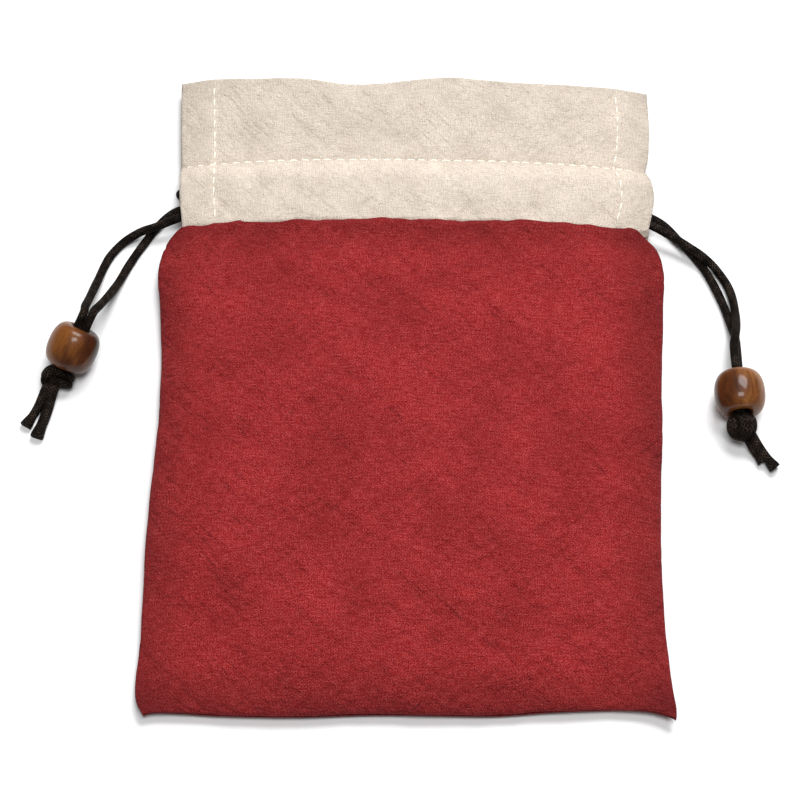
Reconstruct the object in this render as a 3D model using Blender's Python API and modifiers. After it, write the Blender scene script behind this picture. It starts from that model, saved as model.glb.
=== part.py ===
"""Kinchaku drawstring pouch, lying on its back.

Origin: middle of the pouch's footprint, on the table. +X is to the right, +Y towards the mouth, +Z up.
Red front and back panels are sewn together down the sides and along the bottom. Each carries a linen band,
folded double at the mouth: the upper part of a band is the header, the lower part the channel for the cords.
Two cords pull against each other. Each runs through both channels, turns back at the far side, and leaves
where it came in; outside, its two strands pass through a wooden bead and are knotted together.
"""

import bmesh
import bpy
import numpy as np
from mathutils import Vector

MM = 0.001

# Pouch
POUCH_LENGTH = 178 * MM
HALF_LENGTH = POUCH_LENGTH / 2
PANEL_TOP = 46 * MM  # where the red panels end and the bands begin
SEAM_GAP = 0.35 * MM
CLOTH = 0.8 * MM
FRONT_RIM = 2.85 * MM  # height of the front panel's edge at the side and bottom seams
BACK_RIM = 2.0 * MM
DOME = 7.5 * MM  # rise of the front panel above its edge
# Half width of the red panels, from the bottom up: a slight waist, and rounded shoulders under the bands
PANEL_OUTLINE = [
    (-89, 66.5), (-70, 66), (-40, 65.3), (-5, 64.4), (20, 65.2), (36, 66), (41, 65), (44, 62.8), (46, 59.5)
]

# Linen bands
HALF_BAND = 60 * MM
BAND_BOTTOM = PANEL_TOP + SEAM_GAP
CHANNEL_TOP = 64 * MM
LINEN = 0.4 * MM
LAYER_GAP = 0.3 * MM
FOLD_RADIUS = (LINEN + LAYER_GAP) / 2
BACK_CHANNEL_TOP = 3.5 * MM
FRONT_CHANNEL_TOP = (7.3 * MM, 11.7 * MM)  # at the sides, at the middle
FRONT_CHANNEL_UNDER = (3.8 * MM, 8.2 * MM)
FRONT_HEADER = (2.6 * MM, 9.5 * MM)
BACK_HEADER = 0.55 * MM
UNDER_RISES = (26 * MM, 43 * MM)  # the front channel's under side climbs between these distances from the middle

# Cords, beads and knots
CORD = 2.0 * MM
CORD_STEP = 2.3 * CORD  # spacing of a cord's control points
STRAND_OFFSET = 1.15 * MM  # of each strand from the bead's axis
BEAD_HALF_LENGTH = 5.5 * MM
BEAD_RADIUS = 6.6 * MM
BEAD_END_RADIUS = 4.4 * MM
BORE_RADIUS = 2.8 * MM
LEFT_BEAD = Vector((-86.8, 8.9, 7.0)) * MM
LEFT_AXIS = Vector((0.411, 0.741, 0.53)).normalized()  # out of the bead towards the pouch
LEFT_SPREAD = Vector((0.874, -0.485, 0)).normalized()  # from the front strand to the back strand
LEFT_STRAIGHT = 3.5 * MM  # the strands run straight this far out of the bead
RIGHT_BEAD = Vector((84.3, -2.1, 6.65)) * MM
RIGHT_AXIS = Vector((-0.05, 1, 0)).normalized()
RIGHT_SPREAD = Vector((0.4, 0.02, -0.92)).normalized()
RIGHT_STRAIGHT = 7 * MM

# Routes, in millimetres, each point chosen by hand. A run is the stretch inside the channels.
LEFT_RUN = [
    (-60.2, 48.6, 5.55), (-55, 49.9, 6.5), (-47, 52.6, 7.85), (-38, 55.3, 8.9), (-26, 56.6, 9.7), (0, 56.8, 9.95),
    (26, 56, 9.7), (40, 54, 8.6), (51, 51.8, 7.0), (57, 51, 6.0), (60.2, 50.7, 5.5),
    (62, 50.2, 4.9), (62.7, 49.9, 3.65), (62, 49.6, 2.3), (60.3, 49.4, 1.7), (57, 49.2, 1.7), (30, 49.5, 1.75), (0, 50.5, 1.75), (-30, 51.8, 1.75), (-60.2, 53, 1.75),
]
RIGHT_RUN = [
    (60.2, 48.4, 5.55), (55, 48.7, 6.4), (40, 49.5, 8.8), (26, 50.8, 9.7), (0, 51.5, 9.95), (-24, 51, 9.8),
    (-30, 51, 9.45), (-36, 51.1, 7.9), (-41, 51.6, 6.4), (-47, 52.7, 5.45), (-53, 54.6, 5.4), (-57, 56.2, 5.5), (-60.2, 56.4, 5.5),
    (-62, 56.4, 4.9), (-62.7, 56.3, 3.65), (-62, 56.2, 2.3), (-60.3, 56.1, 1.7), (-57, 56, 1.7), (-50, 56, 1.75), (-25, 55, 1.75), (0, 54, 1.75),
    (25, 53, 1.75), (60.2, 52, 1.75),
]
LEFT_FRONT_STRAND = [
    (-60.6, 48.5, 5.5), (-63, 47.7, 5.2), (-65.4, 46.9, 4.6), (-68, 46.2, 3.9), (-70.6, 45.6, 3.2),
    (-73.1, 44.7, 2.2), (-75.6, 43.3, 1.35), (-77.7, 41.2, 1.05), (-79.5, 38.5, 1.05), (-80.9, 35, 1.3),
    (-81.9, 31, 2.6), (-82.7, 26.6, 5.2), (-83.3, 22.2, 8.4), (-83.8, 18.8, 10.9),
]
LEFT_BACK_STRAND = [
    (-60.6, 53, 1.7), (-62.4, 52.4, 1.4), (-64.2, 51.3, 1.1), (-65.8, 49.8, 1.05), (-67.2, 48, 1.05),
    (-68.8, 45.7, 1.05), (-70.2, 43.3, 1.05), (-71.8, 40.7, 1.05), (-73.2, 38.2, 1.05), (-74.6, 35.4, 1.1),
    (-76, 31.8, 1.9), (-77.4, 27.8, 3.9), (-78.8, 23.6, 6.8), (-80.3, 19.6, 9.8), (-81.3, 17.4, 11.3),
]
RIGHT_FRONT_STRAND = [
    (60.6, 48.3, 5.5), (63.4, 47.3, 5.3), (66.7, 45.6, 4.9), (69.8, 43.9, 4.3), (72.8, 42, 3.9), (76, 39.8, 3.4),
    (79.2, 37.2, 2.3), (81.7, 34.2, 1.25), (83.3, 31, 1.1), (84.2, 27, 1.7), (84.4, 22, 3.6), (84.2, 17.5, 5.9),
    (83.7, 14, 7.2),
]
RIGHT_BACK_STRAND = [
    (60.6, 52, 1.75), (63, 51.9, 1.7), (65.4, 50.8, 1.3), (67.6, 49, 1.05), (70, 46.1, 1.05), (72.5, 43.1, 1.05),
    (74.7, 40.3, 1.05), (76.9, 37, 1.05), (78.8, 33.3, 1.05), (80.8, 28.6, 1.05), (82.4, 23.8, 1.2),
    (83.5, 19, 2.3), (84.1, 14.6, 4.2),
]
TAILS = {
    "left_tail_outer": [(-92.9, -0.9, 1.9), (-95.4, -5.8, 1.15), (-98.2, -10.7, 1.05)],
    "left_tail_inner": [(-90.6, -1.5, 1.9), (-92.8, -7.4, 1.1), (-95.2, -13.7, 1.05)],
    "right_tail_short": [(85.6, -14.9, 2.4), (87.3, -16.6, 1.3), (89.2, -18.6, 1.05)],
    "right_tail_long": [(87.6, -13.9, 3.5), (90.2, -16.7, 2.3), (93.1, -20.5, 1.1)],
}
# Each knot: centre, direction it is squeezed along, half sizes along that direction, sideways and across both
LEFT_KNOT = ((-90.45, 2.35, 2.55), LEFT_AXIS, (2.6, 4.4, 2.5))
RIGHT_KNOT = ((84.6, -11.2, 5.1), RIGHT_AXIS, (3.1, 4.0, 3.7))

COLOURS = {
    "red_cloth": ((0.34, 0.03, 0.032), 0.9),
    "linen": ((0.78, 0.68, 0.56), 0.9),
    "cord": ((0.018, 0.013, 0.01), 0.8),
    "wood": ((0.17, 0.06, 0.02), 0.3),
}


def clear_scene():
    for obj in list(bpy.data.objects):
        bpy.data.objects.remove(obj, do_unlink=True)
    for collection in list(bpy.data.collections):
        bpy.data.collections.remove(collection)


def make_collection(name):
    collection = bpy.data.collections.new(name)
    bpy.context.scene.collection.children.link(collection)
    return collection


def make_material(name, finish):
    colour, roughness = COLOURS[finish]
    material = bpy.data.materials.new(name)
    material.use_nodes = True
    shader = material.node_tree.nodes["Principled BSDF"]
    shader.inputs["Base Color"].default_value = (*colour, 1)
    shader.inputs["Roughness"].default_value = roughness
    shader.inputs["Metallic"].default_value = 0
    return material


def add_object(name, data, finish, collection):
    obj = bpy.data.objects.new(name, data)
    collection.objects.link(obj)
    data.materials.append(make_material(name, finish))
    return obj


def smoothstep(value, start, end):
    t = np.clip((value - start) / (end - start), 0, 1)
    return t * t * (3 - 2 * t)


def edge_spaced(count):
    """Positions from -1 to 1, closer together towards both ends."""
    return np.sin(np.linspace(-np.pi / 2, np.pi / 2, count))


# Cloth


def sheet(name, x, y, z, thickness, finish, collection):
    """A sheet of cloth: the middle surface as rows of x, y and z, thickened both ways."""
    rows, columns = x.shape
    bm = bmesh.new()
    grid = [[bm.verts.new(p) for p in zip(x[i], y[i], z[i])] for i in range(rows)]
    for i in range(rows - 1):
        for j in range(columns - 1):
            bm.faces.new((grid[i][j], grid[i][j + 1], grid[i + 1][j + 1], grid[i + 1][j]))
    mesh = bpy.data.meshes.new(name)
    bm.to_mesh(mesh)
    bm.free()
    mesh.shade_smooth()
    obj = add_object(name, mesh, finish, collection)
    solidify = obj.modifiers.new("thickness", "SOLIDIFY")
    solidify.thickness = thickness
    solidify.offset = 0
    return obj


def panel_grid():
    """The panels' shared plan: across from seam to seam, and from the bottom seam up to the band."""
    across = edge_spaced(23)
    up = np.concatenate([
        -HALF_LENGTH * np.cos(np.linspace(0, np.pi / 2, 12, endpoint=False)),
        np.linspace(0, 34 * MM, 6, endpoint=False),
        np.linspace(34 * MM, PANEL_TOP, 6),
    ])
    outline = np.array(PANEL_OUTLINE) * MM
    half_width = np.interp(up, outline[:, 0], outline[:, 1])
    u, y = np.meshgrid(across, up)
    return u, u * half_width[:, None], y


def fullness(u, y):
    """1 over the middle of a panel, falling steeply to 0 at the side and bottom seams."""
    sides = np.sqrt(1 - np.abs(u) ** 5)
    bottom = np.sqrt(np.clip(1 - np.clip(-y / HALF_LENGTH, 0, 1) ** 5, 0, 1))
    return sides * bottom


def front_seam_height(x):
    """Height of the seam between the front panel and its band."""
    low, high = FRONT_CHANNEL_UNDER[0] + LINEN, FRONT_CHANNEL_UNDER[1] + LINEN
    return low + (high - low) * (1 - np.abs(x / HALF_BAND).clip(0, 1) ** 2.5)


def make_panels(collection):
    u, x, y = panel_grid()
    full = fullness(u, y)
    to_band = smoothstep(y, 18 * MM, PANEL_TOP)
    front = (FRONT_RIM + DOME * full) * (1 - to_band) + front_seam_height(x) * to_band
    sheet("front_panel", x, y, front, CLOTH, "red_cloth", collection)
    flat = np.clip((full - 0.02) / 0.9, 0, 1)  # flat on the table away from the seams
    rim = BACK_RIM + (CLOTH / 2 - BACK_RIM) * smoothstep(y, 36 * MM, PANEL_TOP)
    back = rim + (CLOTH / 2 - rim) * flat
    sheet("back_panel", x, y, back, CLOTH, "red_cloth", collection)


def band_section():
    """One band's folded section, from the outer layer's bottom edge, over the mouth fold, to the inner layer's.

    Gives the distance up the pouch, the side (1 outer, -1 inner), and how full the channel is there.
    """
    channel = (BAND_BOTTOM + CHANNEL_TOP) / 2 + (CHANNEL_TOP - BAND_BOTTOM) / 2 * edge_spaced(11)
    header = np.linspace(CHANNEL_TOP, HALF_LENGTH - FOLD_RADIUS, 6)[1:]
    turn = np.linspace(0, np.pi, 7)[1:-1]
    y = np.concatenate([channel, header, header[-1] + FOLD_RADIUS * np.sin(turn), header[::-1], channel[::-1]])
    one_way = len(channel) + len(header)
    side = np.concatenate([np.ones(one_way), np.cos(turn), -np.ones(one_way)])
    across = (2 * y - BAND_BOTTOM - CHANNEL_TOP) / (CHANNEL_TOP - BAND_BOTTOM)
    full = np.sqrt(1 - np.clip(np.abs(across), 0, 1) ** 8)
    return y, side, full


def make_band(name, outer_height, inner_height, header_height, seam_height, collection):
    """A band: each height is a function of the distance from the middle."""
    y, side, full = band_section()
    stations = HALF_BAND * edge_spaced(25)
    x, y = np.meshgrid(stations, y)
    side, full = side[:, None], full[:, None]
    line = np.where(
        y < CHANNEL_TOP,
        seam_height(x) + (header_height(x) - seam_height(x)) * smoothstep(y, BAND_BOTTOM, CHANNEL_TOP),
        header_height(x),
    )
    wall = np.where(side > 0, outer_height(x), inner_height(x))
    z = (line + side * FOLD_RADIUS) * (1 - full) + wall * full
    sheet(name, x, y, z, LINEN, "linen", collection)


def make_bands(collection):
    def arch(low, high):
        return lambda x: low + (high - low) * (1 - np.abs(x / HALF_BAND) ** 3)

    def front_under(x):
        low, high = FRONT_CHANNEL_UNDER[0] + LINEN / 2, FRONT_CHANNEL_UNDER[1] + LINEN / 2
        return high + (low - high) * smoothstep(np.abs(x), *UNDER_RISES)

    front_top = arch(FRONT_CHANNEL_TOP[0] - LINEN / 2, FRONT_CHANNEL_TOP[1] - LINEN / 2)
    make_band("front_band", front_top, front_under, arch(*FRONT_HEADER), front_seam_height, collection)

    def level(height):
        return lambda x: np.full_like(x, height)

    # The back band lies on the table, with its inner layer on top
    back_layers = (BACK_CHANNEL_TOP - LINEN / 2, LINEN / 2, BACK_HEADER, BACK_HEADER)
    make_band("back_band", *(level(height) for height in back_layers), collection)


# Cords


def smooth_path(points):
    """A Catmull-Rom curve through the route's points, read at even steps."""
    p = np.array(points, float)
    p = np.vstack([2 * p[0] - p[1], p, 2 * p[-1] - p[-2]])
    t = np.linspace(0, 1, 12, endpoint=False)[:, None]
    pieces = []
    for a, b, c, d in zip(p, p[1:], p[2:], p[3:]):
        cubic = 2 * b + (c - a) * t + (2 * a - 5 * b + 4 * c - d) * t**2 + (3 * b - a - 3 * c + d) * t**3
        pieces.append(cubic / 2)
    dense = np.vstack([*pieces, p[-2:-1]])
    along = np.concatenate([[0], np.cumsum(np.linalg.norm(np.diff(dense, axis=0), axis=1))])
    steps = np.linspace(0, along[-1], 1 + round(along[-1] / CORD_STEP))
    return np.column_stack([np.interp(steps, along, dense[:, k]) for k in range(3)])


def make_cord(name, route, collection):
    points = smooth_path(route)
    curve = bpy.data.curves.new(name, "CURVE")
    curve.dimensions = "3D"
    curve.bevel_depth = CORD / 2
    curve.bevel_resolution = 2
    curve.use_fill_caps = True
    spline = curve.splines.new("POLY")
    spline.points.add(len(points) - 1)
    for knot, point in zip(spline.points, points):
        knot.co = (*point, 1)
    return add_object(name, curve, "cord", collection)


def strand_route(route_mm, bead, axis, offset, straight):
    """A strand's hand-chosen points, then its straight stretch along the bead's axis down to the knot."""
    far = [bead + offset + axis * s for s in (BEAD_HALF_LENGTH + straight, 0, -BEAD_HALF_LENGTH)]
    return [Vector(p) * MM for p in route_mm] + far


def make_cords(collection):
    make_cord("left_cord_run", [Vector(p) * MM for p in LEFT_RUN], collection)
    make_cord("right_cord_run", [Vector(p) * MM for p in RIGHT_RUN], collection)
    for side, bead, axis, spread, straight, front, back in (
        ("left", LEFT_BEAD, LEFT_AXIS, LEFT_SPREAD, LEFT_STRAIGHT, LEFT_FRONT_STRAND, LEFT_BACK_STRAND),
        ("right", RIGHT_BEAD, RIGHT_AXIS, RIGHT_SPREAD, RIGHT_STRAIGHT, RIGHT_FRONT_STRAND, RIGHT_BACK_STRAND),
    ):
        offset = spread * STRAND_OFFSET
        make_cord(f"{side}_strand_front", strand_route(front, bead, axis, -offset, straight), collection)
        make_cord(f"{side}_strand_back", strand_route(back, bead, axis, offset, straight), collection)
    for name, route in TAILS.items():
        make_cord(name, [Vector(p) * MM for p in route], collection)


def make_bead(name, centre, axis, collection):
    """A barrel turned round its bore, with softened ends."""
    along = BEAD_HALF_LENGTH * edge_spaced(15)[::-1]
    swell = 1 - np.abs(along / BEAD_HALF_LENGTH) ** 3
    outer = BEAD_END_RADIUS + (BEAD_RADIUS - BEAD_END_RADIUS) * swell
    lip = 0.4 * MM  # rounding from the end face into the bore
    profile = [(BORE_RADIUS, BEAD_HALF_LENGTH - lip), (BORE_RADIUS + lip, BEAD_HALF_LENGTH)]
    profile += list(zip(outer, along))
    profile += [(BORE_RADIUS + lip, -BEAD_HALF_LENGTH), (BORE_RADIUS, lip - BEAD_HALF_LENGTH)]
    bm = bmesh.new()
    ring = [bm.verts.new((radius, 0, height)) for radius, height in profile]
    for a, b in zip(ring, ring[1:] + ring[:1]):
        bm.edges.new((a, b))
    mesh = bpy.data.meshes.new(name)
    bm.to_mesh(mesh)
    bm.free()
    obj = add_object(name, mesh, "wood", collection)
    obj.location = centre
    obj.rotation_euler = axis.to_track_quat("Z", "Y").to_euler()
    screw = obj.modifiers.new("turned", "SCREW")
    screw.steps = screw.render_steps = 32
    screw.use_merge_vertices = True
    screw.merge_threshold = 0.00001
    return obj


def make_knot(name, centre_mm, axis, half_sizes_mm, collection):
    bm = bmesh.new()
    bmesh.ops.create_uvsphere(bm, u_segments=20, v_segments=12, radius=1)
    along, sideways, across = half_sizes_mm
    bmesh.ops.scale(bm, vec=Vector((sideways, across, along)) * MM, verts=bm.verts)
    mesh = bpy.data.meshes.new(name)
    bm.to_mesh(mesh)
    bm.free()
    mesh.shade_smooth()
    obj = add_object(name, mesh, "cord", collection)
    obj.location = Vector(centre_mm) * MM
    obj.rotation_euler = axis.to_track_quat("Z", "Y").to_euler()
    return obj


def main():
    clear_scene()
    collection = make_collection("kinchaku_pouch")
    make_panels(collection)
    make_bands(collection)
    make_cords(collection)
    make_bead("left_bead", LEFT_BEAD, LEFT_AXIS, collection)
    make_bead("right_bead", RIGHT_BEAD, RIGHT_AXIS, collection)
    make_knot("left_knot", *LEFT_KNOT, collection)
    make_knot("right_knot", *RIGHT_KNOT, collection)


main()
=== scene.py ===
"""Kinchaku drawstring pouch.

Crinkled red cotton, a linen band folded double at the mouth, two braided cords and two wooden beads.
"""

import bmesh
import bpy
import numpy as np
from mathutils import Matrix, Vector


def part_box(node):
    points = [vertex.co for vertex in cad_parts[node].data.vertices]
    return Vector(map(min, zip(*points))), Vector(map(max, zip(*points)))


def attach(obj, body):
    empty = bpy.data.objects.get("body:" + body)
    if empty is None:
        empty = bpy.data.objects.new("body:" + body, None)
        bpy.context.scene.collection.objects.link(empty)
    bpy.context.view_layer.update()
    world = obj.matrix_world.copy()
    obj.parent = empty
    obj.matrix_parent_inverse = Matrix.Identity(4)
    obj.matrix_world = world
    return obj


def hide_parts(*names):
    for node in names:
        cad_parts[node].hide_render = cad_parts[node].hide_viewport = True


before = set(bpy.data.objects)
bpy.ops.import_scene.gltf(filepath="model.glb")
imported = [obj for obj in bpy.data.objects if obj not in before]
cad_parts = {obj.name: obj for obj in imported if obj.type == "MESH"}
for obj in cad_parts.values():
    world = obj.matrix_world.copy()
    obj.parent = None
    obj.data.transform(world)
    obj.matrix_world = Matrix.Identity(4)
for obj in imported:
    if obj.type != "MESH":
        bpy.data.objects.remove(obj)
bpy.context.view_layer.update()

MM = 0.001

# Places read from the frame, in millimetres
PANEL_LOW, PANEL_HIGH = (np.array(corner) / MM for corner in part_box("front_panel"))
BAND_LOW, BAND_HIGH = (np.array(corner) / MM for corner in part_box("front_band"))
BACK_BAND_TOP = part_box("back_band")[1][2] / MM
HALF_WIDTH = PANEL_HIGH[0]
BOTTOM = PANEL_LOW[1]
SEAM = BAND_LOW[1]  # where the red panels end and the bands begin
MOUTH = BAND_HIGH[1]
CHANNEL_TOP = SEAM + 17.8  # the stitch line that closes the cord channel

# Cloth, in millimetres
RED_THICKNESS = 0.6
LINEN_THICKNESS = 0.42
SIDE_SEAM = 2.4  # height of the seam between the front and back panels
DOME = PANEL_HIGH[2] - SIDE_SEAM + 0.2  # how far the front panel rises over its seams
SEAM_TUCK = 0.9  # how far a panel's edge turns in at the seam
TO_BAND = 16  # height up the pouch where the front panel starts to rise to its band
# How far the red panels' sides stand inside their box, going up from the bottom seam: (height, inset)
LEFT_INSET = [
    (0, 1.6), (2, 0.6), (9, -0.4), (15, 0.1), (30, 0.5), (48, 0.7), (65, 1.5), (80, 2.3), (94, 2.3), (112, 1.3),
    (125, 0.7), (129, 1.7), (132, 3.3), (134, 5.0), (135.6, 7.0),
]
RIGHT_INSET = [
    (0, 0.0), (3, 0.2), (10, 1.1), (22, 2.3), (40, 3.0), (56, 2.8), (74, 2.1), (94, 1.5), (112, 0.8), (124, 0.5),
    (128, 1.3), (130.5, 2.5), (133, 5.0), (135.6, 8.2),
]
# How far the bottom seam and the seam under the band wander up from straight: (across, up)
BOTTOM_WAVE = [
    (-70, -0.5), (-62, 0.1), (-46, -0.3), (-27, -0.3), (-9, 0.5), (10, 0.5), (22, 0.6), (34, 1.5), (46, 2.1),
    (53, 2.2), (59, 1.7), (65, 0.2), (68, -0.3),
]
SEAM_WAVE = [
    (-66, -0.8), (-52, -0.7), (-38, -0.6), (-27, 0.2), (-10, 0.1), (4, 0.2), (28, 0.2), (40, -0.3), (66, -0.8),
]
# The linen band's side edges and its mouth edge
BAND_LEFT = [(0, -60.2), (8, -61.2), (17, -61.3), (24, -61.7), (43, -62.4)]
BAND_RIGHT = [(0, 62.2), (8, 63.7), (13, 63.2), (17.5, 61.9), (22, 62.7), (30, 63.2), (43, 62.8)]
MOUTH_WAVE = [
    (-64, 1.6), (-56, 1.7), (-48, 1.3), (-41, 0.6), (-36, 0.3), (-28, -0.3), (-17, -2.0), (-10, -1.8), (-3, -0.9),
    (3, 0.2), (11, 0.7), (20, -0.3), (28, -1.0), (34, -0.9), (41, -0.6), (53, 0.0), (64, -0.4),
]
FOLD = 0.4  # radius of the fold at the mouth
LEFT_HEM, RIGHT_HEM = -52.6, 54.0  # lines of stitches that hold the band's side hems
CHANNEL_LINE = (-60.8, 61.2)  # ends of the line of stitches across the pouch
STITCH = 3.1  # length of a stitch with its gap
THREAD = 0.24  # radius of the sewing thread

# Cords, in millimetres
CORD = 2.0
LOOSE_CORD = 2.3  # a cord out of the channel swells a little
STRAND_OFFSET = 1.15  # of each strand from the middle of the bore
YARNS = 7  # round the cord each way
BRAID = 0.95  # length in which a yarn moves on to the next one's place
TAIL_RADIUS = {"left_tail_outer": 1.2, "left_tail_inner": 1.4, "right_tail_short": 1.2, "right_tail_long": 1.2}
BEAD_HALF = 5.65  # half the bead's length
BEAD_RADIUS = 6.5
BORE = 2.5
LIP = 0.55  # rounding of the bore's edge
BEAD_STAIN = {  # colours from dark to pale, seed of the grain, and how much paler the bead grows to the right
    "left": (
        ((0.34, (0.022, 0.005, 0.001)), (0.5, (0.07, 0.018, 0.003)), (0.63, (0.18, 0.058, 0.009))), 4.0, -14,
    ),
    "right": (
        ((0.36, (0.04, 0.009, 0.0015)), (0.5, (0.12, 0.034, 0.005)), (0.63, (0.25, 0.1, 0.027))), 11.0, 14,
    ),
}


def unit(*v):
    """The direction of a vector, with length 1."""
    v = np.array(v, float)
    return v / np.linalg.norm(v)


def middle(node):
    """The middle of a node's box, in millimetres."""
    return sum(np.array(corner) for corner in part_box(node)) / 2 / MM


# Each side's bore direction, the strands' spread in the bore and the straight stretch above the bead. Then the
# points of the two free strands, of the run through both channels, and of the tails.
SIDES = {
    "left": {
        "axis": unit(0.411, 0.741, 0.53), "spread": unit(0.874, -0.485, 0), "straight": 3.5,
        "front": [
            (-60.6, 48.5, 5.5), (-63, 47.7, 5.2), (-65.4, 46.9, 4.6), (-68, 46.2, 3.9), (-70.6, 45.6, 3.2),
            (-73.1, 44.7, 2.2), (-75.6, 43.3, 1.35), (-77.7, 41.2, 1.05), (-79.5, 38.5, 1.05), (-80.9, 35, 1.3),
            (-81.9, 31, 2.6), (-82.7, 26.6, 5.2), (-83.3, 22.2, 8.4), (-83.8, 18.8, 10.9),
        ],
        "back": [
            (-60.6, 53, 1.7), (-62.4, 52.4, 1.4), (-64.2, 51.3, 1.1), (-65.8, 49.8, 1.05), (-67.2, 48, 1.05),
            (-68.8, 45.7, 1.05), (-70.2, 43.3, 1.05), (-71.8, 40.7, 1.05), (-73.2, 38.2, 1.05), (-74.6, 35.4, 1.1),
            (-76, 31.8, 1.9), (-77.4, 27.8, 3.9), (-78.8, 23.6, 6.8), (-80.3, 19.6, 9.8), (-81.3, 17.4, 11.3),
        ],
        "run": [
            (-60.2, 48.6, 5.55), (-55, 49.9, 6.5), (-47, 52.6, 7.85), (-38, 55.3, 8.9), (-26, 56.6, 9.7),
            (0, 56.8, 9.95), (26, 56, 9.7), (40, 54, 8.6), (51, 51.8, 7.0), (57, 51, 6.0), (60.2, 50.7, 5.5),
            (62, 50.2, 4.9), (62.7, 49.9, 3.65), (62, 49.6, 2.3), (60.3, 49.4, 1.7), (57, 49.2, 1.7),
            (30, 49.5, 1.75), (0, 50.5, 1.75), (-30, 51.8, 1.75), (-60.2, 53, 1.75),
        ],
        "tails": {
            "left_tail_outer": [(-93.7, -0.7, 1.9), (-95.6, -5.8, 1.2), (-98.2, -10.7, 1.15)],
            "left_tail_inner": [(-91.9, -1.2, 2.1), (-93.2, -7.4, 1.4), (-95.2, -13.9, 1.3)],
        },
    },
    "right": {
        "axis": unit(-0.05, 1, 0), "spread": unit(0.4, 0.02, -0.92), "straight": 7,
        "front": [
            (60.6, 48.3, 5.5), (63.4, 47.3, 5.3), (66.7, 45.6, 4.9), (69.8, 43.9, 4.3), (72.8, 42, 3.9),
            (76, 39.8, 3.4), (79.2, 37.2, 2.3), (81.7, 34.2, 1.25), (83.3, 31, 1.1), (84.2, 27, 1.7),
            (84.4, 22, 3.6), (84.2, 17.5, 5.9), (83.7, 14, 7.2),
        ],
        "back": [
            (60.6, 52, 1.75), (63, 51.9, 1.7), (65.4, 50.8, 1.3), (67.6, 49, 1.05), (70, 46.1, 1.05),
            (72.5, 43.1, 1.05), (74.7, 40.3, 1.05), (76.9, 37, 1.05), (78.8, 33.3, 1.05), (80.8, 28.6, 1.05),
            (82.4, 23.8, 1.2), (83.5, 19, 2.3), (84.1, 14.6, 4.2),
        ],
        "run": [
            (60.2, 48.4, 5.55), (55, 48.7, 6.4), (40, 49.5, 8.8), (26, 50.8, 9.7), (0, 51.5, 9.95), (-24, 51, 9.8),
            (-30, 51, 9.45), (-36, 51.1, 7.9), (-41, 51.6, 6.4), (-47, 52.7, 5.45), (-53, 54.6, 5.4),
            (-57, 56.2, 5.5), (-60.0, 56.4, 5.5), (-61.2, 56.4, 4.7), (-61.6, 56.3, 3.65), (-61.2, 56.2, 2.5),
            (-60.3, 56.1, 1.7), (-57, 56, 1.7), (-50, 56, 1.75), (-25, 55, 1.75), (0, 54, 1.75), (25, 53, 1.75),
            (60.2, 52, 1.75),
        ],
        "tails": {
            "right_tail_short": [(86.0, -12.6, 3.4), (88.0, -15.8, 1.9), (90.2, -18.6, 1.2)],
            "right_tail_long": [(86.9, -12.2, 4.6), (89.6, -16.4, 3.0), (93.1, -20.5, 1.3)],
        },
    },
}
# Each tied knot's path round its own middle: (sideways, towards the bead, upwards)
KNOTS = {
    "left": [
        (0, 3.2, -0.2), (-1.4, 2.0, 0.5), (-2.7, 0.5, 1.2), (-3.1, -1.4, 0.8), (-2.1, -2.3, -0.5),
        (-0.3, -1.0, -1.5), (2.1, 0.1, -1.0), (3.1, 0.7, 0.3), (1.9, 0.7, 1.5), (-0.3, 0.4, 1.6),
        (-1.4, -0.9, 0.5), (-1.7, -3.0, -0.3),
    ],
    "right": [
        (0, 3.4, 0.2), (1.3, 2.0, 1.4), (1.9, 0.2, 1.9), (1.7, -1.6, 1.1), (0.6, -2.3, -0.8), (-1.5, -1.6, -1.5),
        (-2.7, 0.1, -0.6), (-2.4, 1.4, 0.9), (-1.4, 0.8, 1.9), (-1.1, -1.0, 1.7), (-0.4, -2.0, 0.4),
        (1.2, -2.8, -0.6),
    ],
}
KNOT_SHIFT = {"left": (0, 0, 0), "right": (0.1, 0.4, 0.35)}  # drawn up tight against the bead


# Numbers


def smoothstep(value, start, end):
    """Rises smoothly from 0 at start to 1 at end."""
    t = np.clip((value - start) / (end - start), 0, 1)
    return t * t * (3 - 2 * t)


def through(value, knots):
    """A curve through the knots (place, height), with level tangents blended in between them."""
    places, heights = np.array(knots, float).T
    slope = np.gradient(heights, places)
    i = np.clip(np.searchsorted(places, value) - 1, 0, len(places) - 2)
    span = places[i + 1] - places[i]
    t = np.clip((value - places[i]) / span, 0, 1)
    start = heights[i] * (1 + 2 * t) * (1 - t) ** 2 + slope[i] * span * t * (1 - t) ** 2
    return start + heights[i + 1] * t**2 * (3 - 2 * t) - slope[i + 1] * span * t**2 * (1 - t)


def cloud(x, y, size, seed):
    """Soft random hills from -1 to 1: random values on a square lattice, blended smoothly between."""
    table = np.random.default_rng(seed).uniform(-1, 1, (61, 61))
    gx, gy = 0.94 * x / size - 0.34 * y / size + 500, 0.34 * x / size + 0.94 * y / size + 500
    ix, iy = np.floor(gx).astype(int), np.floor(gy).astype(int)
    fx, fy = gx - ix, gy - iy
    fx, fy = fx**3 * (fx * (6 * fx - 15) + 10), fy**3 * (fy * (6 * fy - 15) + 10)
    low = table[ix % 61, iy % 61] * (1 - fx) + table[(ix + 1) % 61, iy % 61] * fx
    high = table[ix % 61, (iy + 1) % 61] * (1 - fx) + table[(ix + 1) % 61, (iy + 1) % 61] * fx
    return low * (1 - fy) + high * fy


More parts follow.
